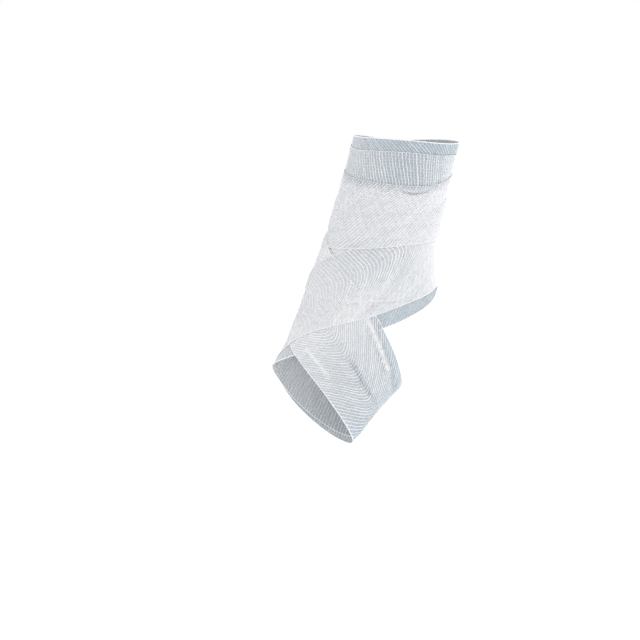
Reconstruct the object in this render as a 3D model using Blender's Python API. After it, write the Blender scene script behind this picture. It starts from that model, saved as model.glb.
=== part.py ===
"""A gauze bandage wound in a figure of eight, as one closed shell.

The bandage is one strip. It starts with two turns at the top rim, goes down to the bend, crosses the
front to go round the lower loop twice, and ends with a turn over the first ones. It is hollow, with
a gap at the back between the upper tube and the lower loop, and it is open at its lower end.

Frame: +Z runs up the tube, the lower end is toward -Y, and the outer (near) side is +X. The origin is
inside the bend. The tables below are in millimetres, and the mesh is in metres.
"""

import bpy
import numpy as np
from mathutils.geometry import delaunay_2d_cdt

MM = 0.001

FIRST_LAYER = 1.0  # one layer of gauze with its loose yarns
NEXT_LAYER = 0.6  # what each further layer adds once it is pressed down
SELVEDGE_RISE = 0.8  # width of the step at an edge that lies on top
COVERED_RISE = 7.0  # width of the soft step where later turns cover an edge

EDGE_SPACING = 5.0  # between points along an edge
OUTSIDE_SPACING = 6.0  # between points of the outside, away from the edges
INSIDE_SPACING = 10.0
CLEAR_OF_EDGES = 2.6  # no other point lies nearer to an edge
SHORTEST_EDGE = 0.3  # shorter ones are drawn together
MEAN_RADIUS = 42.0  # of the form, which sets the scale of the flat pattern

# The form that the gauze lies on, as sections that fan out from the upper tube to the lower loop.
# Each has the places of its front and back in the middle plane, half its width, how far its outer
# side is carried toward its back, and how much the corners of its back half are squared.
FORM_COLUMNS = (
    "front_forward front_height back_forward back_height half_width outer_drop squareness"
).split()
FORM = np.array(
    [
        (38, 150, -48, 150, 42.5, 0, 0),
        (38, 110, -46.5, 110, 39, 1, 0),
        (40, 73, -45.5, 74, 36, 3, 0),
        (43, 42, -50, 45, 36, 5, 0),
        (47.5, 18, -59.5, 21, 36.5, 6, 0),
        (50.5, 0, -75, -1, 35.5, 7, 0),
        (52, -18, -73, -37, 35.5, 9, 0.02),
        (54, -37, -48, -57, 36.5, 10, 0.04),
        (56, -58, -20, -84, 38, 12, 0.06),
        (61.5, -82, 4, -112, 42, 14, 0.06),
        (70, -107, 30, -141, 45, 14, 0.06),
    ]
)
SECTIONS = len(FORM)

# The winding, a row for each quarter turn from the inner side on: the section where the strip's
# middle lies, and its reach from there to its upper and to its lower edge. A full reach is about 35
# each way, and less where the gauze is drawn together.
QUARTER = np.pi / 2
START = -QUARTER
WINDING = np.array(
    [
        # first turn, which makes the top rim: inner side, front, outer side, back
        (1.3, 34, 35),
        (1.42, 36.5, 37),
        (1.12, 33, 32),
        (1.03, 34.5, 35),
        # second turn, a little lower
        (1.4, 34, 34),
        (1.65, 34.5, 34),
        (1.42, 34.5, 34.5),
        (1.4, 35, 35),
        # third turn, down to the bend
        (2.5, 34, 34),
        (3.4, 34, 34),
        (3.0, 34, 34),
        (2.6, 35, 34),
        # first pass over the front to the lower loop
        (3.8, 37, 33),
        (5.55, 39, 29),
        (7.65, 26, 25),
        (8.2, 29, 30),
        # and back up
        (7.6, 33, 32),
        (6.0, 34, 30),
        (3.8, 34, 30),
        (2.3, 35, 28),
        # second pass over the front
        (3.65, 36, 34),
        (5.65, 40, 35),
        (7.75, 34, 33),
        (8.3, 32, 31),
        # and back up
        (7.8, 33, 25),
        (5.85, 34, 19),
        (3.4, 34.5, 27),
        (2.25, 35, 36),
        # last turn, over the first ones, drawn in on its outer side; it ends on the inner side
        (2.05, 35, 35),
        (2.1, 28, 32),
        (1.77, 21, 26.5),
        (1.42, 28, 27),
        (1.5, 33, 33),
    ]
)
END = START + QUARTER * (len(WINDING) - 1)

# Folds in the top layer: their line, as sections and degrees, half their width, and their height.
FOLDS = (
    ("gathered edge over the first pass", ((5.44, 58), (6.1, 70), (6.87, 90), (7.5, 130)), 3.0, 1.6),
    ("trough beside it", ((6.9, 48), (7.12, 55), (7.62, 74), (7.99, 101)), 3.0, -0.6),
    ("crease where the last turn is drawn in", ((1.39, 67), (1.37, 81), (1.25, 99)), 2.2, 1.1),
)

GAUZE_WHITE = (0.83, 0.84, 0.87, 1.0)
GAUZE_ROUGHNESS = 0.9


def smooth_rows(rows, at):
    """The rows of a table at fractional places, on a Catmull-Rom curve."""
    padded = np.vstack([2 * rows[0] - rows[1], rows, 2 * rows[-1] - rows[-2]])
    first = np.clip(np.floor(at).astype(int), 0, len(rows) - 2)
    t = (at - first)[:, None]
    a, b, c, d = (padded[first + k] for k in range(4))
    square = 2 * a - 5 * b + 4 * c - d
    cube = 3 * b - a - 3 * c + d
    return 0.5 * (2 * b + (c - a) * t + square * t**2 + cube * t**3)


def form_point(section, angle):
    """Points of the form. The angle is 0 at the front, and a quarter turn on the outer side."""
    section, angle = np.broadcast_arrays(section, angle)
    row = dict(zip(FORM_COLUMNS, smooth_rows(FORM, section.ravel()).T))
    angle = angle.ravel()
    middle_forward = (row["front_forward"] + row["back_forward"]) / 2
    middle_height = (row["front_height"] + row["back_height"]) / 2
    reach_forward = row["front_forward"] - middle_forward
    reach_height = row["front_height"] - middle_height
    squared = 1 + row["squareness"] * np.sin(2 * angle) ** 2 * (1 - np.cos(angle)) / 2
    toward_front = np.cos(angle) * squared
    toward_outer = np.sin(angle) * squared
    depth = toward_front - row["outer_drop"] * toward_outer / np.hypot(reach_forward, reach_height)
    outward = row["half_width"] * toward_outer
    forward = middle_forward + reach_forward * depth
    height = middle_height + reach_height * depth
    return np.stack([outward, -forward, height], axis=-1).reshape(section.shape + (3,))


def form_frame(section, angle, step=1e-4):
    """The form's two tangents and its outward normal."""
    along = (form_point(section + step, angle) - form_point(section - step, angle)) / (2 * step)
    around = (form_point(section, angle + step) - form_point(section, angle - step)) / (2 * step)
    normal = np.cross(along, around)
    return along, around, normal / np.linalg.norm(normal, axis=-1, keepdims=True)


def walk(section, angle, heading, length, steps=8):
    """Walks straight over the form from each point, and gives the points passed, by step."""
    passed = [(section, angle)]
    stride = length / steps
    for _ in range(steps):
        along, around, normal = form_frame(section, angle)
        heading = heading - (heading * normal).sum(-1, keepdims=True) * normal
        heading = heading / np.linalg.norm(heading, axis=-1, keepdims=True)
        aa, ab, bb = (along * along).sum(-1), (along * around).sum(-1), (around * around).sum(-1)
        ha, hb = (heading * along).sum(-1), (heading * around).sum(-1)
        area = aa * bb - ab * ab
        section = section + stride * (ha * bb - hb * ab) / area
        angle = angle + stride * (hb * aa - ha * ab) / area
        passed.append((section, angle))
    return passed


def middle_of_strip(turn):
    """(section, reach to the upper edge, reach to the lower edge) at each turn angle."""
    return smooth_rows(WINDING, (turn - START) / QUARTER).T


def strip_edge(turn, side, inset=0.0):
    """The strip's upper (side -1) or lower (side 1) edge, square to its middle, as (section, angle)."""
    section, up, down = middle_of_strip(turn)
    step = 1e-3
    slope = (middle_of_strip(turn + step)[0] - middle_of_strip(turn - step)[0]) / (2 * step)
    along, around, normal = form_frame(section, turn)
    ahead = around + along * slope[:, None]
    across = np.cross(ahead, normal)
    across *= np.sign((across * along).sum(-1))[:, None] * side
    reach = (up if side < 0 else down) - inset
    return walk(section, turn, across, reach)[-1]


TURNS = np.arange(START, END + 1e-6, np.radians(4))
EDGES = {side: strip_edge(TURNS, side) for side in (-1, 1)}


def edge_section(side, turn):
    section, angle = EDGES[side]
    angle = np.maximum.accumulate(angle + 1e-9 * np.arange(len(angle)))
    return np.interp(turn, angle, section)


def end_turn(which, section):
    """The turn angle of the strip's first (0) or last (-1) cut end, at a section."""
    upper, lower = EDGES[-1], EDGES[1]
    share = (section - upper[0][which]) / (lower[0][which] - upper[0][which])
    return upper[1][which] + np.clip(share, 0, 1) * (lower[1][which] - upper[1][which])


def lengthwise_scale(section, angle):
    along, around, _ = form_frame(section, angle)
    across = along - around * ((along * around).sum(-1) / (around * around).sum(-1))[..., None]
    return np.linalg.norm(across, axis=-1), np.linalg.norm(around, axis=-1)


def depth_inside(section, turn):
    """How far a point lies inside the strip from its nearest edge or end, in mm; negative outside."""
    scale, round_scale = lengthwise_scale(section, turn)
    step = np.radians(3)
    found = np.full(section.shape, np.inf)
    for side in (-1, 1):
        slope = (edge_section(side, turn + step) - edge_section(side, turn - step)) / (2 * step)
        lean = slope * scale / round_scale
        gap = (edge_section(side, turn) - section) * side * scale / np.sqrt(1 + lean**2)
        found = np.minimum(found, gap)
    found = np.minimum(found, (turn - end_turn(0, section)) * round_scale)
    return np.minimum(found, (end_turn(-1, section) - turn) * round_scale)


def passes_over(angle):
    """The turn angles at which the strip passes an angle of the form, first laid first."""
    first = np.floor((START - angle) / (2 * np.pi)) - 1
    for lap in range(int((END - START) / (2 * np.pi)) + 4):
        yield angle + (first + lap) * 2 * np.pi


def layers(section, angle):
    """How many layers lie over each point, where a step counts by how far it has risen."""
    depths = [depth_inside(section, turn) for turn in passes_over(angle)]
    total = np.zeros(section.shape)
    covered = np.zeros(section.shape, bool)
    for depth in reversed(depths):
        on_top = np.clip(depth / SELVEDGE_RISE, 0, 1)
        beneath = np.clip(depth / COVERED_RISE + 0.5, 0, 1)
        total += np.where(covered, beneath, on_top)
        covered |= depth > 0
    return total, covered


def fold_height(section, angle):
    place = form_point(section, angle)
    raised = np.zeros(section.shape)
    for _, line, half_width, height in FOLDS:
        ridge = fold_line(line, 40)
        gap = np.linalg.norm(place[:, None, :] - form_point(*ridge)[None], axis=-1)
        nearest = gap.argmin(axis=1)
        taper = np.sin(np.pi * (nearest + 0.5) / len(ridge[0])) ** 0.5
        bump = np.clip(1 - gap.min(axis=1) / half_width, 0, 1)
        raised += height * taper * bump
    return raised


def fold_line(line, count):
    rows = smooth_rows(np.array(line, float), np.linspace(0, len(line) - 1, count))
    return rows[:, 0], np.radians(rows[:, 1])


def height_over(section, angle):
    """How far the outside stands off the form."""
    total, _ = layers(section, angle)
    return FIRST_LAYER + NEXT_LAYER * np.maximum(total - 1, 0) + fold_height(section, angle)


def pattern_lengths():
    """How far down a flat pattern each section lies, from the lengths between section middles."""
    sections = np.linspace(0, SECTIONS - 1, 200)
    rows = smooth_rows(FORM, sections)
    middles = (rows[:, 0:2] + rows[:, 2:4]) / 2
    steps = np.linalg.norm(np.diff(middles, axis=0), axis=1)
    return sections, np.concatenate([[0], np.cumsum(steps)])


PATTERN = pattern_lengths()


def to_pattern(section, angle):
    """The form as a flat ring, with no seam: the angle stays, and the radius grows downward."""
    radius = np.exp(np.interp(section, *PATTERN) / MEAN_RADIUS)
    return np.stack([radius * np.cos(angle), radius * np.sin(angle)], axis=-1)


def from_pattern(points):
    down = MEAN_RADIUS * np.log(np.maximum(np.hypot(*points.T), 1e-3))
    return np.interp(down, PATTERN[1], PATTERN[0]), np.arctan2(points[:, 1], points[:, 0])


def on_top(section, turn):
    """Whether no later turn of the strip covers a point of its edge."""
    clear = np.ones(section.shape, bool)
    for lap in range(1, 9):
        later = turn + lap * 2 * np.pi
        clear &= (later > END + 1) | (depth_inside(section, later) < -0.5 * SELVEDGE_RISE)
    return clear


def runs(flags):
    """The stretches of a row of flags that are true, each widened by one place."""
    places = np.flatnonzero(flags)
    if not len(places):
        return []
    groups = np.split(places, np.flatnonzero(np.diff(places) > 1) + 1)
    return [np.arange(max(g[0] - 1, 0), min(g[-1] + 2, len(flags))) for g in groups]


def drawn_lines():
    """Every line that the outside's mesh must follow, as (section, angle)."""
    step = EDGE_SPACING / MEAN_RADIUS
    turns = np.linspace(START, END, round((END - START) / step))
    lines = []
    for side in (-1, 1):
        edge = strip_edge(turns, side)
        crest = strip_edge(turns, side, inset=SELVEDGE_RISE)
        for run in runs(on_top(*edge)):
            lines += [(edge[0][run], edge[1][run]), (crest[0][run], crest[1][run])]
    upper, lower = EDGES[-1], EDGES[1]
    share = np.linspace(0, 1, 13)
    for inset in (0, SELVEDGE_RISE / MEAN_RADIUS):
        section = upper[0][-1] + share * (lower[0][-1] - upper[0][-1])
        lines.append((section, upper[1][-1] + share * (lower[1][-1] - upper[1][-1]) - inset))
    for _, line, half_width, _ in FOLDS:
        section, angle = fold_line(line, 8)
        scale, _ = lengthwise_scale(section, angle)
        lines += [(section + side * half_width / scale, angle) for side in (-1, 0, 1)]
    return lines


def even_points(spacing, avoid):
    """Points spread evenly over the form, clear of the drawn ones."""
    lengths = np.arange(spacing / 2, PATTERN[1][-1], spacing * 0.87)
    around = round(2 * np.pi * MEAN_RADIUS / spacing)
    down, column = np.meshgrid(lengths, np.arange(around), indexing="ij")
    angle = 2 * np.pi * (column + 0.5 * (np.arange(len(lengths)) % 2)[:, None]) / around
    section = np.interp(down, PATTERN[1], PATTERN[0]).ravel()
    angle = angle.ravel()
    place = form_point(section, angle)
    near = np.array([np.linalg.norm(avoid - p, axis=1).min() for p in place])
    keep = (near > CLEAR_OF_EDGES) & layers(section, angle)[1]
    return section[keep], angle[keep]


def triangulate(points, edges):
    """A triangulation of the flat pattern that keeps the edges: (pattern points, triangles)."""
    found = delaunay_2d_cdt([tuple(p) for p in points], edges, [], 0, 1e-9, False)
    flat = np.array([tuple(p) for p in found[0]])
    return flat, np.array([tuple(f) for f in found[2]])


def dense(section, angle, count=4):
    """A line with more points between its own, to measure distances to it."""
    at = np.linspace(0, len(section) - 1, count * (len(section) - 1) + 1)
    own = np.arange(len(section))
    return form_point(np.interp(at, own, section), np.interp(at, own, angle))


def directed_edges(faces):
    return np.concatenate([faces[:, [0, 1]], faces[:, [1, 2]], faces[:, [2, 0]]])


def draw_together(place, faces):
    """Merges the ends of edges that are too short, and drops the faces that this flattens."""
    while True:
        ends = np.unique(np.sort(directed_edges(faces), axis=1), axis=0)
        length = np.linalg.norm(place[ends[:, 0]] - place[ends[:, 1]], axis=1)
        shortest = length.argmin()
        if length[shortest] > SHORTEST_EDGE:
            return faces
        kept, gone = ends[shortest]
        faces = np.where(faces == gone, kept, faces)
        faces = faces[(faces != np.roll(faces, 1, axis=1)).all(axis=1)]


def border_of(faces):
    """The directed edges that have a face on one side only."""
    there = {tuple(e) for e in directed_edges(faces).tolist()}
    return [e for e in there if (e[1], e[0]) not in there]


def faces_within(faces, border):
    """The faces on the left of the border's directed edges, up to the border all round."""
    sides = [list(zip(face, face[1:] + face[:1])) for face in faces.tolist()]
    owner = {side: index for index, own in enumerate(sides) for side in own}
    closed = set(border) | {(b, a) for a, b in border}
    waiting = [owner[edge] for edge in border]
    found = set()
    while waiting:
        face = waiting.pop()
        if face in found:
            continue
        found.add(face)
        waiting += [owner[b, a] for a, b in sides[face] if (a, b) not in closed]
    return faces[sorted(found)]


def covered_faces(flat, faces):
    middle = flat[faces].mean(axis=1)
    section, angle = from_pattern(middle)
    on_the_form = (np.hypot(*middle.T) > 1.0) & (section < SECTIONS - 1.001)
    return faces[layers(section, angle)[1] & on_the_form]


def outside():
    """The outside's (sections, angles, faces)."""
    lines = drawn_lines()
    avoid = np.concatenate([dense(*line) for line in lines])
    points = [to_pattern(*line) for line in lines]
    edges = []
    count = 0
    for line in points:
        edges += [(count + k, count + k + 1) for k in range(len(line) - 1)]
        count += len(line)
    points.append(to_pattern(*even_points(OUTSIDE_SPACING, avoid)))
    flat, faces = triangulate(np.concatenate(points), edges)
    faces = covered_faces(flat, faces)
    section, angle = from_pattern(flat)
    faces = draw_together(form_point(section, angle), faces)
    return section, angle, faces


def inside(section, angle, border):
    """The inside's own coarser (pattern points, faces), on the same border."""
    used = sorted({k for edge in border for k in edge})
    index = {k: n for n, k in enumerate(used)}
    rim = to_pattern(section[used], angle[used])
    edges = [(index[a], index[b]) for a, b in border]
    near = form_point(section[used], angle[used])
    more = to_pattern(*even_points(INSIDE_SPACING, near))
    flat, faces = triangulate(np.concatenate([rim, more]), edges)
    return used, flat, faces_within(faces, edges)


def bandage_mesh():
    section, angle, faces = outside()
    border = border_of(faces)
    used, flat, inner_faces = inside(section, angle, border)
    base = form_point(section, angle)
    normal = form_frame(section, angle)[2]
    outer = base + normal * height_over(section, angle)[:, None]
    inner = form_point(*from_pattern(flat))
    inner[: len(used)] = base[used]
    first = len(outer)
    to_inner = {k: first + n for n, k in enumerate(used)}
    walls = []
    for a, b in border:
        walls += [(b, a, to_inner[a]), (b, to_inner[a], to_inner[b])]
    points = np.concatenate([outer, inner]) * MM
    triangles = np.concatenate([faces, inner_faces[:, ::-1] + first, walls])
    used_points, triangles = np.unique(triangles, return_inverse=True)
    return points[used_points], triangles.reshape(-1, 3)


def gauze_material():
    material = bpy.data.materials.new("white gauze")
    material.use_nodes = True
    shader = material.node_tree.nodes["Principled BSDF"]
    shader.inputs["Base Color"].default_value = GAUZE_WHITE
    shader.inputs["Roughness"].default_value = GAUZE_ROUGHNESS
    shader.inputs["Metallic"].default_value = 0.0
    return material


def main():
    for leftover in list(bpy.data.objects):
        bpy.data.objects.remove(leftover)
    points, faces = bandage_mesh()
    mesh = bpy.data.meshes.new("gauze_bandage")
    mesh.from_pydata(points.tolist(), [], faces.tolist())
    mesh.validate()
    mesh.shade_smooth()
    mesh.materials.append(gauze_material())
    bandage = bpy.data.objects.new("gauze_bandage", mesh)
    bpy.context.scene.collection.objects.link(bandage)


main()
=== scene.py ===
# %% [markdown]
# # A gauze bandage in a figure of eight
#
# One strip of elastic gauze is wound round a bent form, and keeps that form by itself. Its turns
# make an upper tube, a crossing in front, and a loop below. Between the tube and the loop a gap
# stays open. The gauze is built as it is woven: a thin ground cloth, cross yarns from edge to
# edge, yarns that run the strip's whole length, and a firm woven edge on each side.

import bpy
import numpy as np
from mathutils import Matrix, Vector


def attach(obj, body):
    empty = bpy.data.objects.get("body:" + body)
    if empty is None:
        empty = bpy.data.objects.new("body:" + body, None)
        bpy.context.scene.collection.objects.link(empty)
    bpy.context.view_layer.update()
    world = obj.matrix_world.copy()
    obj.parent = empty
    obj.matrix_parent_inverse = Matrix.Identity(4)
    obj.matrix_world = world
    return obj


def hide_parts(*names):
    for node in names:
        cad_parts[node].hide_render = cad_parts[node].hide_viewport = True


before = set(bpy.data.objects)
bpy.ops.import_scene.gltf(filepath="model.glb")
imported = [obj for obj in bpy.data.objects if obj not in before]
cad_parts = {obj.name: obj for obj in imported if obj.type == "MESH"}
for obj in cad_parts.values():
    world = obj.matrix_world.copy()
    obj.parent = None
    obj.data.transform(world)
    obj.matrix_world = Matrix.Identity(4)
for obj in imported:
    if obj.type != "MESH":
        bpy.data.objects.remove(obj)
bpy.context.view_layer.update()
print("nodes:", sorted(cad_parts))

# %% [markdown]
# The solid's form is described by sections that fan out from the upper tube to the lower loop.
# The same tables are repeated here in millimetres, because a scene can't read the solid's source.
# The form could be drawn with many more sections, but a Catmull-Rom curve through few rows is
# smooth by itself and easy to change.

# %% Tables of the form
MM = 0.001
FORM_COLUMNS = (
    "front_forward",
    "front_height",
    "back_forward",
    "back_height",
    "half_width",
    "outer_drop",
    "squareness",
)
FORM = np.array(
    [
        (38, 150, -48, 150, 42.5, 0, 0),
        (38, 110, -46.5, 110, 39, 1, 0),
        (40, 73, -45.5, 74, 36, 3, 0),
        (43, 42, -50, 45, 36, 5, 0),
        (47.5, 18, -59.5, 21, 36.5, 6, 0),
        (50.5, 0, -75, -1, 35.5, 7, 0),
        (52, -18, -73, -37, 35.5, 9, 0.02),
        (54, -37, -48, -57, 36.5, 10, 0.04),
        (56, -58, -20, -84, 38, 12, 0.06),
        (61.5, -82, 4, -112, 42, 14, 0.06),
        (70, -107, 30, -141, 45, 14, 0.06),
    ]
)


def smooth_rows(rows, at):
    """The rows of a table at fractional places, on a Catmull-Rom curve."""
    padded = np.vstack([2 * rows[0] - rows[1], rows, 2 * rows[-1] - rows[-2]])
    first = np.clip(np.floor(at).astype(int), 0, len(rows) - 2)
    t = (at - first)[:, None]
    a, b, c, d = (padded[first + k] for k in range(4))
    square = 2 * a - 5 * b + 4 * c - d
    cube = 3 * b - a - 3 * c + d
    return 0.5 * (2 * b + (c - a) * t + square * t**2 + cube * t**3)


print("form sections:", len(FORM))

# %% [markdown]
# Each row of the winding table is a quarter turn of the strip: where its middle lies on the form,
# and how far it reaches toward its upper and its lower edge. Later turns lie over earlier ones.
# The last columns say how the yarns lie in it and the light and shade painted into it.
# A quarter turn is the longest step that still follows the winding, and keeps the table short
# enough to adjust.

# %% Table of the winding, and of how the yarns lie in it
QUARTER = np.pi / 2
START = -QUARTER
# The columns: the section of the strip's middle, the reach up and down from it in mm, the spacing
# of the cross yarns in mm, where across the strip they bend, how far they fall behind for each
# millimetre above the bend and below it, and the painted light of the gauze: how much lighter its
# colour is painted, and below 0 darker, as painted shade.
MIDDLE, REACH_UP, REACH_DOWN, SPACING, BEND, SLANT_ABOVE, SLANT_BELOW, PAINTED_LIGHT = range(8)
# A row for each quarter: inner side, front, outer side, back.
WINDING = np.array(
    [
        # first turn, which makes the top rim
        (1.3, 34, 35, 2.5, -1.3, 0, -0.6, 0.4),
        (1.42, 36.5, 37, 2.4, -1.3, 0, -0.95, 0.45),
        (1.12, 33, 32, 2.4, -1.3, 0, -1.1, 0),
        (1.03, 34.5, 35, 2.5, -1.3, 0, -0.6, 0.25),
        # second turn, a little lower
        (1.4, 34, 34, 2.5, -1, 0, -0.2, 0.5),
        (1.65, 34.5, 34, 2.4, -1, 0, -0.25, 0.7),
        (1.42, 34.5, 34.5, 2.4, -1, 0, -0.2, 0.6),
        (1.4, 35, 35, 2.5, -1, 0, -0.2, 1.1),
        # third turn, down to the bend
        (2.5, 34, 34, 2.8, 0, 0.3, 0.3, 0.7),
        (3.4, 34, 34, 2.8, 0, 0.3, 0.3, 0.95),
        (3.0, 34, 34, 2.8, 0, 0.3, 0.3, 0.7),
        (2.6, 35, 34, 2.8, 0, 0.3, 0.3, 0.5),
        # first pass over the front to the lower loop
        (3.8, 37, 33, 3.0, 0.2, 0.5, 0.5, 0.5),
        (5.55, 39, 29, 3.0, 0.2, 0.8, 0.7, 0.5),
        (7.65, 26, 25, 3.0, 0.2, 1.2, 0.9, 0.3),
        (8.2, 29, 30, 3.0, 0.1, 0.5, 0.5, 0.6),
        # and back up
        (7.6, 33, 32, 2.8, 0, 0.4, 0.4, 0.75),
        (6.0, 34, 30, 2.9, 0, 0.6, 0.7, 0.45),
        (3.8, 34, 30, 3.1, 0, 0.9, 1.0, -0.1),
        (2.3, 35, 28, 3.0, 0, 0.6, 0.7, 0.1),
        # second pass over the front
        (3.65, 36, 34, 2.8, 0.1, 0.6, 0.6, 0.95),
        (5.65, 40, 35, 2.7, 0, 1.4, 1.1, 0.95),
        (7.75, 34, 33, 2.7, 0.1, 1.4, 1.2, 0.69),
        (8.3, 32, 31, 2.8, 0.1, 0.8, 0.6, 0.35),
        # and back up
        (7.8, 33, 25, 2.8, 0, 0.5, 0.7, 0.7),
        (5.85, 34, 19, 2.5, -0.25, 0.7, 1.5, 0.91),
        (3.4, 34.5, 27, 2.7, -0.6, 0.6, 1.8, 0.84),
        (2.25, 35, 36, 2.9, -0.7, 0.4, 1.4, 1.15),
        # last turn, over the first ones
        (2.05, 35, 35, 2.9, -0.9, 0.3, 1.1, 0.9),
        (2.1, 28, 32, 2.9, -1.1, 0, 1.1, 0.9),
        (1.77, 21, 26.5, 2.9, -1.1, 0, 1.05, 0.92),
        (1.42, 28, 27, 2.9, -1.1, 0, 0.8, 0.9),
        (1.5, 33, 33, 2.9, -1.1, 0, 0.5, 0.8),
    ]
)
END = START + QUARTER * (len(WINDING) - 1)
print("turns:", (END - START) / (2 * np.pi))

# %% [markdown]
# A place on the form is a section, counted down from the top rim, and an angle round it. Each
# section is an ellipse that leans, drops toward its outer side, and can be a little squared at the
# back. The tangents could be worked out on paper, but small differences are shorter and just as
# good for gauze.

# %% Points of the form


def form_point(section, angle):
    """Points of the form. The angle is 0 at the front, and a quarter turn on the outer side."""
    section, angle = np.broadcast_arrays(section, angle)
    row = dict(zip(FORM_COLUMNS, smooth_rows(FORM, section.ravel()).T))
    around = angle.ravel()
    middle_forward = (row["front_forward"] + row["back_forward"]) / 2
    middle_height = (row["front_height"] + row["back_height"]) / 2
    reach_forward = row["front_forward"] - middle_forward
    reach_height = row["front_height"] - middle_height
    squared = 1 + row["squareness"] * np.sin(2 * around) ** 2 * (1 - np.cos(around)) / 2
    toward_front = np.cos(around) * squared
    toward_outer = np.sin(around) * squared
    depth = toward_front - row["outer_drop"] * toward_outer / np.hypot(reach_forward, reach_height)
    outward = row["half_width"] * toward_outer
    forward = middle_forward + reach_forward * depth
    height = middle_height + reach_height * depth
    return np.stack([outward, -forward, height], axis=-1).reshape(section.shape + (3,))


def form_frame(section, angle, step=1e-4):
    """The form's two tangents and its outward normal."""
    along = (form_point(section + step, angle) - form_point(section - step, angle)) / (2 * step)
    around = (form_point(section, angle + step) - form_point(section, angle - step)) / (2 * step)
    normal = np.cross(along, around)
    return along, around, normal / np.linalg.norm(normal, axis=-1, keepdims=True)


print("front of the top rim, mm:", form_point(np.array([0.0]), np.array([0.0]))[0])

# %% [markdown]
# A strip of cloth lies straight across its own length. So its edges come from walking over the
# form, square to the strip's middle line and without turning. All the places that the walk passes
# make a grid, turn by turn and from edge to edge. Whatever lies in the gauze is later looked up on
# this grid, which is quicker than to walk again for every yarn.

# %% The strip as a grid on the form
ACROSS_STEPS = 18  # from the middle line to one edge
TURN_STEP = np.radians(1.5)
turns = np.arange(START, END + 1e-6, TURN_STEP)


def strip_rows(turn):
    """The columns of the winding table at turn angles."""
    return smooth_rows(WINDING, (turn - START) / QUARTER).T


def walk(section, angle, heading, length, steps):
    """Walks straight over the form from each point, and gives all the points passed."""
    passed = [(section, angle)]
    stride = length / steps
    for _ in range(steps):
        along, around, normal = form_frame(section, angle)
        heading = heading - (heading * normal).sum(-1, keepdims=True) * normal
        heading = heading / np.linalg.norm(heading, axis=-1, keepdims=True)
        # split the stride into a step of the section and a step of the angle
        aa, ab, bb = (along * along).sum(-1), (along * around).sum(-1), (around * around).sum(-1)
        ha, hb = (heading * along).sum(-1), (heading * around).sum(-1)
        area = aa * bb - ab * ab
        section = section + stride * (ha * bb - hb * ab) / area
        angle = angle + stride * (hb * aa - ha * ab) / area
        passed.append((section, angle))
    return np.array(passed)


def strip_grid(turn, step=1e-3):
    """(section, angle) of the strip from its upper to its lower edge, for each turn angle."""
    section, up, down = strip_rows(turn)[[MIDDLE, REACH_UP, REACH_DOWN]]
    slope = (strip_rows(turn + step)[MIDDLE] - strip_rows(turn - step)[MIDDLE]) / (2 * step)
    along, around, normal = form_frame(section, turn)
    across = np.cross(around + along * slope[:, None], normal)
    across *= np.sign((across * along).sum(-1))[:, None]
    upper = walk(section, turn, -across, up, ACROSS_STEPS)
    lower = walk(section, turn, across, down, ACROSS_STEPS)
    return np.concatenate([upper[::-1], lower[1:]]).transpose(1, 2, 0)


grid_section, grid_angle = strip_grid(turns)
print("grid:", grid_section.shape)

# %% [markdown]
# Where turns cross, each one lies on those below it. A cloth simulation could press them together,
# but counting is exact and quick: the height of a turn over the form is one layer more for every
# earlier turn under it. The step is soft, because the gauze bridges the edge below, and the firm
# edge itself shows as a low ridge.

# %% How high each turn lies
FIRST_LAYER = 0.45  # middle of the first layer over the form
NEXT_LAYER = 0.6
MOST_TURNS_BELOW = 8
BRIDGE = 4.0  # how far the gauze takes to climb onto an edge
EDGE_SHOWS = 0.3  # how much a firm edge below lifts the gauze above it
EDGE_REACH = 1.4  # and how far to each side
UPPER, LOWER = 0, -1


def edge_section(side, turn):
    """The section that an edge of the strip lies on, where it passes each turn angle."""
    angle = np.maximum.accumulate(grid_angle[:, side] + 1e-9 * np.arange(len(turns)))
    return np.interp(turn, angle, grid_section[:, side])


def depth_inside(section, turn, step=np.radians(3)):
    """How far a point lies inside the strip from its nearest edge, in mm; negative outside."""
    along, around, _ = form_frame(section, turn)
    round_scale = np.linalg.norm(around, axis=-1)
    lean_off = (along * around).sum(-1) / round_scale**2
    scale = np.linalg.norm(along - around * lean_off[..., None], axis=-1)
    found = np.full(section.shape, np.inf)
    for side, sign in ((UPPER, -1), (LOWER, 1)):
        slope = (edge_section(side, turn + step) - edge_section(side, turn - step)) / (2 * step)
        gap = (edge_section(side, turn) - section) * sign * scale
        found = np.minimum(found, gap / np.sqrt(1 + (slope * scale / round_scale) ** 2))
    found = np.minimum(found, (turn - START) * round_scale)
    return np.minimum(found, (END - turn) * round_scale)


def height_over_form(section, angle):
    """How high the strip lies over the form at each of its own places."""
    height = np.full(section.shape, FIRST_LAYER)
    ridge = np.zeros(section.shape)
    for turns_below in range(1, MOST_TURNS_BELOW + 1):
        depth = depth_inside(section, angle - turns_below * 2 * np.pi)
        height += NEXT_LAYER * np.clip(depth / BRIDGE + 0.5, 0, 1)
        ridge = np.maximum(ridge, EDGE_SHOWS * np.exp(-((depth / EDGE_REACH) ** 2)))
    return height + ridge


grid_height = height_over_form(grid_section, grid_angle)
most = round((grid_height.max() - FIRST_LAYER) / NEXT_LAYER) + 1
print("layers over each other, at most:", most)
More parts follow.
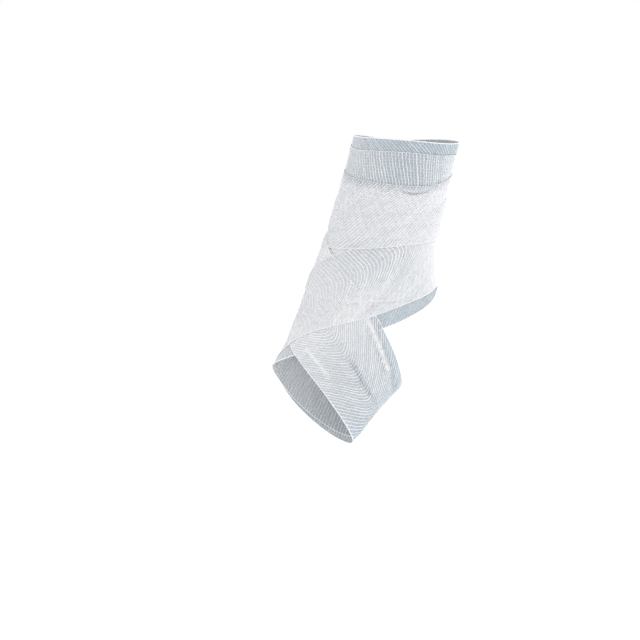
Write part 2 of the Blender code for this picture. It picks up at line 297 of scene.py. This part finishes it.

# %% [markdown]
# A few folds show in the top layer: the gathered upper edge of the first pass under the second
# one, the trough beside it, its lower edge, and the crease where the last turn is drawn in. Each
# is a soft ridge or trough along a short line, because a fold in thin gauze is only a few
# millimetres wide and soon runs out. Each fold also paints the gauze's colour: a painted highlight
# on a ridge, and painted shade in a trough and in the crease. A sculpted mesh could hold the folds
# too, but then the yarns wouldn't follow them.

# %% Folds in the top layer
FOLD_POINTS = 40
FOLDS = (
    # what it is, (section, degrees) along it, half width, height, how much lighter it is painted
    # (a painted highlight) and below 0 darker (painted shade), and its first and last turn in
    # degrees
    ("gathered edge", ((5.44, 58), (6.1, 70), (6.87, 90), (7.5, 130)), 2.6, 2.1, 0.3, 1800, 2000),
    ("trough", ((7.12, 56), (7.45, 70), (7.72, 84), (8.05, 118)), 3.0, -1.0, -0.4, 1100, 2000),
    ("edge beneath", ((7.4, 12), (7.5, 18), (7.78, 34), (8.02, 49)), 1.4, 0.5, 0.35, 1750, 2000),
    ("lip of the crease", ((1.33, 67), (1.32, 81), (1.2, 99)), 2.0, 0.8, 0.1, 2560, 2700),
    ("crease under it", ((1.39, 67), (1.38, 82), (1.25, 99)), 1.5, -1.6, -0.5, 0, 2700),
)
fold_painted_light = np.zeros(grid_height.shape)


def fold_share(section, angle, line, half_width):
    """1 on a fold's line, running out to its sides and at both ends, at places of the form."""
    rows = smooth_rows(np.array(line, float), np.linspace(0, len(line) - 1, FOLD_POINTS))
    ridge = form_point(rows[:, 0], np.radians(rows[:, 1]))
    place = form_point(section, angle)
    gap = np.linalg.norm(place[..., None, :] - ridge, axis=-1)
    taper = np.sin(np.pi * (gap.argmin(axis=-1) + 0.5) / len(ridge)) ** 0.5
    bump = np.clip(1 - gap.min(axis=-1) / half_width, 0, 1)
    return taper * bump**2 * (3 - 2 * bump)


# Each fold lifts or lowers the strip, and paints its colour lighter as a painted highlight or
# darker as painted shade.
for name, line, half_width, height, fold_light_or_shade, first, last in FOLDS:
    here = (turns > np.radians(first)) & (turns < np.radians(last))
    share = fold_share(grid_section[here], grid_angle[here], line, half_width)
    grid_height[here] += height * share
    fold_painted_light[here] += fold_light_or_shade * share
    print("fold:", name)

# %% [markdown]
# Everything in the gauze is placed by two numbers: how far along the strip, in millimetres, and
# where across it, from -1 at the upper edge to 1 at the lower edge. One function turns these into
# a place on the wound strip and the direction that faces outward there. So yarns are laid out as
# if the strip were flat, and still follow every turn and fold.

# %% Places in the strip
middle_places = form_point(grid_section[:, ACROSS_STEPS], grid_angle[:, ACROSS_STEPS])
middle_steps = np.linalg.norm(np.diff(middle_places, axis=0), axis=1)
lengths = np.concatenate([[0], np.cumsum(middle_steps)])
STRIP_LENGTH = lengths[-1]
strip_width = strip_rows(turns)[[REACH_UP, REACH_DOWN]].sum(axis=0).mean()


def on_grid(table, row, column):
    """A value of a grid between its points."""
    r = np.clip(np.floor(row).astype(int), 0, table.shape[0] - 2)
    c = np.clip(np.floor(column).astype(int), 0, table.shape[1] - 2)
    fr, fc = row - r, column - c
    near = table[r, c] * (1 - fc) + table[r, c + 1] * fc
    far = table[r + 1, c] * (1 - fc) + table[r + 1, c + 1] * fc
    return near * (1 - fr) + far * fr


def place_in_strip(along, across, lift=0.0):
    """(places, outward normals, painted light) of points in the strip, in mm and lifted off it."""
    row = np.interp(along, lengths, np.arange(len(lengths)))
    column = (across + 1) * ACROSS_STEPS
    section, angle = on_grid(grid_section, row, column), on_grid(grid_angle, row, column)
    normal = form_frame(section, angle)[2]
    height = on_grid(grid_height, row, column) + lift
    places = form_point(section, angle) + normal * height[..., None]
    return places, normal, on_grid(grid_painted_light, row, column)


print("strip as it is laid, mm:", round(STRIP_LENGTH), "x", round(strip_width))

# %% [markdown]
# On the second pass over the front the gauze is drawn together along one line. Its yarns lie
# close there and show as a bright streak, so the streak is kept as a share from 0 to 1 that both
# the yarns' places and their painted light use: the streak is also painted lighter. Few yarns are
# left beside it, so the gauze is thin there, and it is painted darker, as painted shade. Along the
# last turn's upper edge the gauze is painted darker too, as painted shade, which makes that edge a
# soft one.

# %% The gathered streak, and the light and shade painted into the gauze
GATHER_TURNS = np.radians([1822, 1945])
GATHER_ACROSS = (-0.86, -0.46)  # where across the strip it starts and ends
# how much lighter it is painted (below 0 darker, as painted shade), and over what reach across
STREAK_PAINTED_LIGHT, STREAK_REACH = 0.12, 0.1
BESIDE_PAINTED_SHADE, BESIDE_REACH = -0.4, 0.22
UPPER_EDGE_PAINTED_SHADE, SHADED_EDGE_REACH = -0.4, 0.28
SHADED_EDGE_TURNS = 1.15  # how many turns before the strip's end the painted shade on the upper edge sets in


def gathered(turn, across, reach):
    """(the streak's place across, and 1 on it, running out at its ends and beside it)."""
    progress = np.interp(turn, GATHER_TURNS, (0, 1))
    middle = np.interp(progress, (0, 1), GATHER_ACROSS)
    beside = np.clip(1 - ((across - middle) / reach) ** 2, 0, 1)
    return middle, np.sin(np.pi * progress) ** 0.7 * beside


grid_across = np.linspace(-1, 1, 2 * ACROSS_STEPS + 1)
grid_turn = turns[:, None]
on_streak = gathered(grid_turn, grid_across, STREAK_REACH)[1]
beside_streak = gathered(grid_turn, grid_across + BESIDE_REACH, BESIDE_REACH)[1]
set_in = np.clip((grid_turn - END) / (2 * np.pi) + SHADED_EDGE_TURNS, 0, 1) ** 0.2
on_shaded_edge = set_in * np.clip(1 - (grid_across + 1) / SHADED_EDGE_REACH, 0, 1)
# The table's painted light, the folds' painted highlights and shade, the streak's painted
# highlight, and painted shade beside it and along the upper edge.
grid_painted_light = strip_rows(turns)[PAINTED_LIGHT][:, None] + fold_painted_light
grid_painted_light += STREAK_PAINTED_LIGHT * on_streak + BESIDE_PAINTED_SHADE * beside_streak
grid_painted_light += UPPER_EDGE_PAINTED_SHADE * on_shaded_edge
print("whiteness from", grid_painted_light.min().round(2), "to", grid_painted_light.max().round(2))

# %% [markdown]
# Elastic gauze doesn't lie square. Where it is pulled round a bend, its cross yarns slant and lie
# in bows, and they spread apart where the strip is stretched. A picture of a weave couldn't show
# that. So the winding table says for each quarter turn how far apart the yarns are, where they
# bend, and how steeply they slant on each side of that.

# %% Where the cross yarns lie
BEND_RADIUS = 6.5  # how softly a yarn bends
SQUARE_ENDS = 60.0  # near its cut ends the strip isn't pulled askew
END_MARGIN = 0.3
COUNTING_STEPS = 6000


def yarn_rows(along):
    """The columns of the winding table at lengths along the strip."""
    return strip_rows(np.interp(along, lengths, turns))


fine = np.linspace(0, STRIP_LENGTH, COUNTING_STEPS)
spacing = yarn_rows(fine)[SPACING]
count_along = np.concatenate([[0], np.cumsum(np.diff(fine) / spacing[1:])])
CROSS_YARNS = int(count_along[-1])
yarn_count = (np.arange(CROSS_YARNS) + 0.5) * count_along[-1] / CROSS_YARNS
yarn_middle = np.interp(yarn_count, count_along, fine)


def along_of_yarn(middle, across):
    """How far along the strip each cross yarn is, at places across it."""
    columns = [REACH_UP, REACH_DOWN, BEND, SLANT_ABOVE, SLANT_BELOW]
    up, down, bend, above, below = yarn_rows(middle)[columns, :, None]

    def behind(at):
        gap = (at - bend) * np.where(at < bend, up, down)
        slant = np.where(at < bend, above, below)
        return slant * (np.sqrt(gap**2 + BEND_RADIUS**2) - BEND_RADIUS)

    room = np.minimum(middle, STRIP_LENGTH - middle)
    share = np.clip(room / SQUARE_ENDS, 0, 1)[:, None]
    along = middle[:, None] - (behind(across) - behind(np.zeros(1))) * share
    return np.clip(along, END_MARGIN, STRIP_LENGTH - END_MARGIN)


print("cross yarns:", CROSS_YARNS)

# %% [markdown]
# A yarn could be a curve with a bevel, but hundreds of them are lighter as one mesh: three long
# faces round each yarn, shaded smooth. They are flat, because the yarns are loosely spun and
# pressed.

# %% Helpers that make pieces and yarns
rng = np.random.default_rng(7)


def new_piece(name, points, faces, material, white=None):
    """A mesh object from points in metres. Its painted light and tone go into a point attribute.
    """
    mesh = bpy.data.meshes.new(name)
    mesh.from_pydata(points.tolist(), [], faces.tolist())
    mesh.shade_smooth()
    mesh.materials.append(material)
    if white is not None:
        own = np.repeat(white.ravel(), len(points) // white.size)
        mesh.attributes.new("painted_light_and_tone", "FLOAT", "POINT").data.foreach_set("value", own)
    piece = bpy.data.objects.new(name, mesh)
    bpy.context.scene.collection.objects.link(piece)
    return piece


def yarn_mesh(centres, normals, half_width, half_height, sides=3):
    """(points in m, faces) of yarns, each a row of centres, with one edge of each ring on top."""
    ahead = np.gradient(centres, axis=1)
    ahead /= np.linalg.norm(ahead, axis=-1, keepdims=True)
    sideways = np.cross(normals, ahead)
    sideways /= np.linalg.norm(sideways, axis=-1, keepdims=True)
    up = np.cross(ahead, sideways)
    ring = 2 * np.pi * np.arange(sides) / sides + np.pi / 2
    wide = np.broadcast_to(half_width, centres.shape[:2])[..., None, None]
    tall = np.broadcast_to(half_height, centres.shape[:2])[..., None, None]
    points = (
        centres[:, :, None]
        + sideways[:, :, None] * np.cos(ring)[:, None] * wide
        + up[:, :, None] * np.sin(ring)[:, None] * tall
    )
    count, steps = centres.shape[:2]
    index = np.arange(count * steps * sides).reshape(count, steps, sides)
    beside = np.roll(index, -1, axis=2)
    faces = np.stack([index[:, :-1], beside[:, :-1], beside[:, 1:], index[:, 1:]], axis=-1)
    return points.reshape(-1, 3) * MM, faces.reshape(-1, 4)


print("yarn helper ready")

# %% [markdown]
# Shader maths reads best as plain expressions. This small class wraps a socket, so that
# `1 - a * 2` adds the Math nodes, and its `node` adds any other kind.

# %% Shader helper
OBJECT_PLACE = 3  # output of Texture Coordinate
MIX_SHARE, MIX_FIRST, MIX_SECOND, MIX_RESULT = 0, 6, 7, 2  # sockets of Mix for colours
ATTRIBUTE_FACTOR = 2  # output of Attribute


class Value:
    """A socket of a material's nodes, or the material itself before it has any."""

    def __init__(self, tree, socket=None):
        self.tree, self.socket = tree, socket

    def node(self, kind, settings=(), values=(), out=0):
        """Adds a node: its settings, then the values or links of its sockets by name or number."""
        node = self.tree.nodes.new("ShaderNode" + kind)
        for name, setting in dict(settings).items():
            setattr(node, name, setting)
        for name, value in dict(values).items():
            if isinstance(value, Value):
                self.tree.links.new(value.socket, node.inputs[name])
            else:
                node.inputs[name].default_value = value
        return Value(self.tree, node.outputs[out] if len(node.outputs) else None)

    def maths(self, operation, first, second):
        return self.node("Math", {"operation": operation}, {0: first, 1: second})

    def __add__(self, other):
        return self.maths("ADD", self, other)

    def __sub__(self, other):
        return self.maths("SUBTRACT", self, other)

    def __rsub__(self, other):
        return self.maths("SUBTRACT", other, self)

    def __mul__(self, other):
        return self.maths("MULTIPLY", self, other)

    __radd__, __rmul__ = __add__, __mul__


def new_finish(name):
    """A new material, and the Value that its first nodes are added from."""
    material = bpy.data.materials.new(name)
    material.use_nodes = True
    material.node_tree.nodes.clear()
    return material, Value(material.node_tree)


def noise(start, place, scale, detail):
    return start.node("TexNoise", values={"Vector": place, "Scale": scale, "Detail": detail})


def bump(start, height, strength):
    """A bump of a fifth of a millimetre at most, weakened by its strength."""
    return start.node(
        "Bump", values={"Height": height, "Strength": strength, "Distance": 0.2 * MM}
    )


def colour_between(start, share, first, second):
    sockets = {MIX_SHARE: share, MIX_FIRST: first, MIX_SECOND: second}
    return start.node("Mix", {"data_type": "RGBA"}, sockets, out=MIX_RESULT)


def surface_of(start, values):
    """Ends a material with the surface that has these values."""
    surface = start.node("BsdfPrincipled", values=values)
    start.node("OutputMaterial", values={"Surface": surface})


print("shader helper ready")

# %% [markdown]
# Bleached cotton is matt and a cool white, never quite even: some yarns took the bleach better,
# and loose fibres catch the light. Slow noise varies the colour, and fine noise gives the fibres'
# bump. Each layer beneath sends light back through the open weave, and that light is painted into
# the colour: the gauze is painted whiter where it is stacked, and cooler and greyer, as painted
# shade, where it is single. The meshes carry that painted light from the table, because a material
# by itself can't tell how many layers lie beneath it.

# %% Finish of the yarns
# The first colour is the yarn in painted shade, where the gauze is single; the second is its white
# where it is stacked.
YARN_PAINTED_SHADE = (0.56, 0.615, 0.655, 1)
YARN_STACKED = (0.81, 0.81, 0.825, 1)
YARN_UNEVEN = 0.6  # how far the noise moves the painted light, from end to end
PATCH_SCALE, PATCH_DETAIL = 60, 3
FIBRE_SCALE, FIBRE_DETAIL = 900, 2


def painted_light_and_tone(start):
    """The painted light: 0 where the gauze is single and in painted shade, near 1 where it is
    stacked.
    """
    return start.node("Attribute", {"attribute_name": "painted_light_and_tone"}, out=ATTRIBUTE_FACTOR)


yarn_white, start = new_finish("bleached yarn")
place = start.node("TexCoord", out=OBJECT_PLACE)
patches = noise(start, place, PATCH_SCALE, PATCH_DETAIL)
fibres = noise(start, place, FIBRE_SCALE, FIBRE_DETAIL)
# The painted light, moved a little by random tone, picks between these two colours.
share = painted_light_and_tone(start) + (patches * 0.5 + fibres * 0.5 - 0.5) * YARN_UNEVEN
surface_of(
    start,
    {
        "Base Color": colour_between(start, share, YARN_PAINTED_SHADE, YARN_STACKED),
        "Roughness": 0.9,
        "Normal": bump(start, fibres, 0.25),
        "Sheen Weight": 0.15,
        "Sheen Roughness": 0.5,
    },
)
print("finish:", yarn_white.name)

# %% [markdown]
# Between the yarns lies the ground cloth: fine single threads, so thin that a little light comes
# through. Its colour is painted cooler and darker than the yarns', as painted shade of the yarns
# over it, and its painted light rises more slowly than theirs as the layers stack up. Each of its
# threads could be a mesh too, but they are too fine to tell apart, so a noise in its colour and
# cover stands for them.

# %% Finish of the ground cloth
# The first colour is the ground cloth in painted shade, where the gauze is single; the second is
# its white where it is stacked.
GROUND_PAINTED_SHADE = (0.355, 0.41, 0.455, 1)
GROUND_STACKED = (0.81, 0.81, 0.83, 1)
GROUND_COVER = 0.9  # share of the light that it stops
COVER_VARIES = 0.3
GROUND_UNEVEN = 0.3
STAIN_SCALE, STAIN_DETAIL = 45, 3
THREAD_SCALE, THREAD_DETAIL = 1600, 1

ground_cloth, start = new_finish("ground cloth")
place = start.node("TexCoord", out=OBJECT_PLACE)
threads = noise(start, place, THREAD_SCALE, THREAD_DETAIL)
stains = noise(start, place, STAIN_SCALE, STAIN_DETAIL)
# The painted light, squared twice so that it rises slowly, with stains of random tone.
squared = painted_light_and_tone(start) * painted_light_and_tone(start)
share = squared * squared + (stains - 0.5) * GROUND_UNEVEN
surface_of(
    start,
    {
        "Base Color": colour_between(start, share, GROUND_PAINTED_SHADE, GROUND_STACKED),
        "Roughness": 0.95,
        "Normal": bump(start, threads, 0.2),
        "Alpha": threads * COVER_VARIES + (GROUND_COVER - COVER_VARIES / 2),
    },
)
print("finish:", ground_cloth.name)

# %% [markdown]
# The ground cloth is the strip itself: one ribbon that follows the winding from its first cut end
# to its last. It is the sheet that the other yarns are woven into. It needs fewer rows than the
# grid that the yarns are placed by, so it takes every second one.

# %% The strip
EVERY = 2

along_grid, across_grid = np.meshgrid(lengths[::EVERY], grid_across, indexing="ij")
places, _, white = place_in_strip(along_grid, across_grid)
index = np.arange(white.size).reshape(white.shape)
quads = np.stack([index[:-1, :-1], index[:-1, 1:], index[1:, 1:], index[1:, :-1]], axis=-1)
strip = new_piece(
    "gauze_strip", places.reshape(-1, 3) * MM, quads.reshape(-1, 4), ground_cloth, white
)
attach(strip, "root")
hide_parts("gauze_bandage")
print("strip:", len(quads) * quads.shape[1], "quads")

# %% [markdown]
# The cross yarns run from edge to edge. They are what shows most: pale lines with thin dark gaps.
# Each one wanders a little and is a little thicker or thinner than the next. They are meshes and
# not a bump, because their shade on the ground cloth is what makes the gauze look open.

# %% Cross yarns
CROSS_HALF_WIDTH = 0.66
CROSS_HALF_HEIGHT = 0.24
CROSS_POINTS = 33  # along each yarn
CROSS_LIFT = 0.03
WANDER = 0.18
WHITE_VARIES = 0.08  # from yarn to yarn
THICKNESS_VARIES = (0.15, 0.12)  # from yarn to yarn, and along each one
THICKNESS_LIMITS = (0.6, 1.5)

across = np.broadcast_to(np.linspace(-1, 1, CROSS_POINTS), (CROSS_YARNS, CROSS_POINTS))
along = along_of_yarn(yarn_middle, across)
along = along + WANDER * rng.standard_normal(along.shape)
along = np.clip(along, 0, STRIP_LENGTH)
centres, normals, white = place_in_strip(along, across, CROSS_LIFT)
white = white + WHITE_VARIES * rng.standard_normal((CROSS_YARNS, 1))
thick = 1 + THICKNESS_VARIES[0] * rng.standard_normal((CROSS_YARNS, 1))
thick = thick + THICKNESS_VARIES[1] * rng.standard_normal(along.shape)
half_width = CROSS_HALF_WIDTH * np.clip(thick, *THICKNESS_LIMITS)
points, faces = yarn_mesh(centres, normals, half_width, CROSS_HALF_HEIGHT)
cross_yarns = new_piece("cross_yarns", points, faces, yarn_white, white)
print("cross yarns:", len(faces), "faces")

# %% [markdown]
# The long yarns run the strip's whole length, over one cross yarn and under the next, now and then
# missing one. Where both leave a gap, a small hole stays open in the weave. At the gathered streak
# they are drawn together. One point on each cross yarn is enough to weave them in and out.

# %% Long yarns
LONG_YARNS = 28
LONG_HALF_WIDTH = 0.22
LONG_HALF_HEIGHT = 0.18
LONG_LIFT = 0.12
OVER_AND_UNDER = 0.22
MISSED = 0.12  # share of the cross yarns that a long yarn misses
ACROSS_VARIES = 0.006
GATHER_REACH = 0.42
GATHER_PULL = 0.7  # 1 would draw the yarns onto one line

across_of_yarn = np.linspace(-1, 1, LONG_YARNS + 2)[1:-1]
across = np.broadcast_to(across_of_yarn[:, None], (LONG_YARNS, CROSS_YARNS))
along = along_of_yarn(yarn_middle, across.T).T
middle, near = gathered(np.interp(along, lengths, turns), across, GATHER_REACH)
across = middle + (across - middle) * (1 - GATHER_PULL * near)
side = 1 - 2 * ((np.arange(LONG_YARNS)[:, None] + np.arange(CROSS_YARNS)) % 2)
side = side * np.where(rng.random(side.shape) < MISSED, -1, 1)
across = across + ACROSS_VARIES * rng.standard_normal(across.shape)
centres, normals, white = place_in_strip(along, across, LONG_LIFT + OVER_AND_UNDER * side)
points, faces = yarn_mesh(centres, normals, LONG_HALF_WIDTH, LONG_HALF_HEIGHT)
long_yarns = new_piece("long_yarns", points, faces, yarn_white, white)
print("long yarns:", len(faces), "faces")

# %% [markdown]
# At each edge the cross yarns turn back round a few tight long yarns. That makes a firm white
# cord, with a slight knob at every turn. Where the strip is stretched most, the cord all but
# vanishes. The loops themselves are too small to see, so one knobbly cord at each edge stands for
# them.

# %% Woven edges
EDGE_HALF_WIDTH = 0.45
EDGE_HALF_HEIGHT = 0.36
EDGE_LIFT = 0.12
EDGE_STEP = 1.3
EDGE_SIDES = 6
EDGE_WHITER = 0.8
KNOB_SPACING = 2.9
KNOB_SIZE, KNOB_VARIES = 0.14, 0.08
# how firm the upper and the lower edge are, for each four quarters of the winding
EDGE_FIRM = np.array(
    [(1, 0.6), (0.4, 0.6), (0.6, 0.6), (0.9, 0.9), (0.7, 1), (0.8, 1), (0.6, 0.8), (0.4, 0.7)]
)

edge_along = np.arange(0, STRIP_LENGTH, EDGE_STEP)
across = np.array([[-1.0], [1.0]]) * np.ones(len(edge_along))
along = np.broadcast_to(edge_along, across.shape)
centres, normals, white = place_in_strip(along, across, EDGE_LIFT)
lap = (np.interp(edge_along, lengths, turns) - START) / (4 * QUARTER) - 0.5
firm = np.stack([np.interp(lap, np.arange(len(EDGE_FIRM)), column) for column in EDGE_FIRM.T])
knobs = 1 + KNOB_SIZE * np.sin(2 * np.pi * edge_along / KNOB_SPACING)
knobs = knobs + KNOB_VARIES * rng.standard_normal(across.shape)
half_width, half_height = EDGE_HALF_WIDTH * firm * knobs, EDGE_HALF_HEIGHT * firm * knobs
points, faces = yarn_mesh(centres, normals, half_width, half_height, EDGE_SIDES)
white = white + EDGE_WHITER * firm
woven_edges = new_piece("woven_edges", points, faces, yarn_white, white)
for piece in (cross_yarns, long_yarns, woven_edges):
    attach(piece, "root")
print("woven edges:", len(faces), "faces")

# %% [markdown]
# The camera stands where the photograph was taken from, slightly above and from the outer front,
# and tilted. Its place is worked out from the direction, the roll and the pixel of the origin,
# because those are the numbers that can be read off a photograph.

# %% Camera
AZIMUTH, ELEVATION, ROLL = np.radians([58.62, 7.03, 12.29])
DISTANCE = 1.300
FOCAL_PIXELS = 1560
PHOTO_PIXELS = 640
ORIGIN_PIXEL = (365.65, 299.45)
SENSOR = 36.0

back = np.array(
    [
        np.sin(AZIMUTH) * np.cos(ELEVATION),
        -np.cos(AZIMUTH) * np.cos(ELEVATION),
        np.sin(ELEVATION),
    ]
)
level = np.array([np.cos(AZIMUTH), np.sin(AZIMUTH), 0])
upward = np.cross(back, level)
right = level * np.cos(ROLL) + upward * np.sin(ROLL)
up = -level * np.sin(ROLL) + upward * np.cos(ROLL)
off_right = (ORIGIN_PIXEL[0] - PHOTO_PIXELS / 2) / FOCAL_PIXELS * DISTANCE
off_down = (ORIGIN_PIXEL[1] - PHOTO_PIXELS / 2) / FOCAL_PIXELS * DISTANCE
camera_place = back * DISTANCE - right * off_right + up * off_down

camera_data = bpy.data.cameras.new("camera")
camera_data.lens = FOCAL_PIXELS / PHOTO_PIXELS * SENSOR
camera_data.sensor_width = SENSOR
camera = bpy.data.objects.new("camera", camera_data)
turned = Matrix(np.stack([right, up, back], axis=1).tolist()).to_4x4()
camera.matrix_world = Matrix.Translation(Vector(camera_place)) @ turned
bpy.context.scene.collection.objects.link(camera)
bpy.context.scene.camera = camera
print("camera at", camera_place.round(3))

# %% [markdown]
# The photograph is plain: white all round and soft light from every side, a little stronger from
# the rear right. A white world gives the soft light, and one large lamp the stronger side. The
# floor glows a little, so that it stays as white as the world.

# %% Floor and light
FLOOR_HEIGHT = -0.17
FLOOR_HALF = 3.0
FLOOR_GLOW = 0.35
LAMP_PLACE = Vector((0.25, 0.95, 1.15))
LAMP_SIZE = 1.2
LAMP_POWER = 11.0

floor_white, start = new_finish("pale floor")
surface_of(
    start,
    {
        "Base Color": (0.9, 0.9, 0.9, 1),
        "Roughness": 0.9,
        "Emission Color": (1, 1, 1, 1),
        "Emission Strength": FLOOR_GLOW,
    },
)
corners = np.array([(-1, -1), (1, -1), (1, 1), (-1, 1)]) * FLOOR_HALF
floor_points = np.column_stack([corners, np.full(4, FLOOR_HEIGHT)])
floor = new_piece("floor", floor_points, np.array([[0, 1, 2, 3]]), floor_white)

world = bpy.data.worlds.new("white surroundings")
bpy.context.scene.world = world
world.use_nodes = True
surroundings = world.node_tree.nodes["Background"].inputs
surroundings["Color"].default_value = (1, 1, 1, 1)
surroundings["Strength"].default_value = 1.0

lamp_data = bpy.data.lights.new("soft side lamp", "AREA")
lamp_data.shape, lamp_data.size, lamp_data.energy = "DISK", LAMP_SIZE, LAMP_POWER
lamp = bpy.data.objects.new("soft side lamp", lamp_data)
lamp.location = LAMP_PLACE
lamp.rotation_euler = (-LAMP_PLACE).to_track_quat("-Z", "Y").to_euler()
bpy.context.scene.collection.objects.link(lamp)
bpy.context.scene.view_settings.view_transform = "Standard"
print("floor at", FLOOR_HEIGHT)
